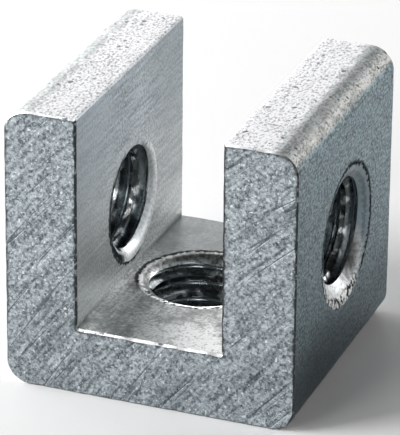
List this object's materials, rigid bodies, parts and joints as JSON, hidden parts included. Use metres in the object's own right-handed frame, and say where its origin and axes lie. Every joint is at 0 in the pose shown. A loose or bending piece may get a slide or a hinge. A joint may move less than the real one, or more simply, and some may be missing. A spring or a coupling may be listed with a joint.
{
  "type": "t slot nut",
  "caption": "U-section block nut sawn from aluminium channel, with a tapped and countersunk hole through each leg and through the base.",
  "frame": {"origin": "under the middle of the block, on the plane of its underside", "axes": "+Z from the base up to the open tops of the legs, X across the two legs, Y along the channel with the front sawn end facing -Y"},
  "size_m": [0.02, 0.019, 0.0195],
  "materials": {
    "aluminium": "bare, fine-grained mill finish with sawn ends"
  },
  "bodies": {
    "root": {"nut_body": "aluminium"}
  },
  "joints": []
}
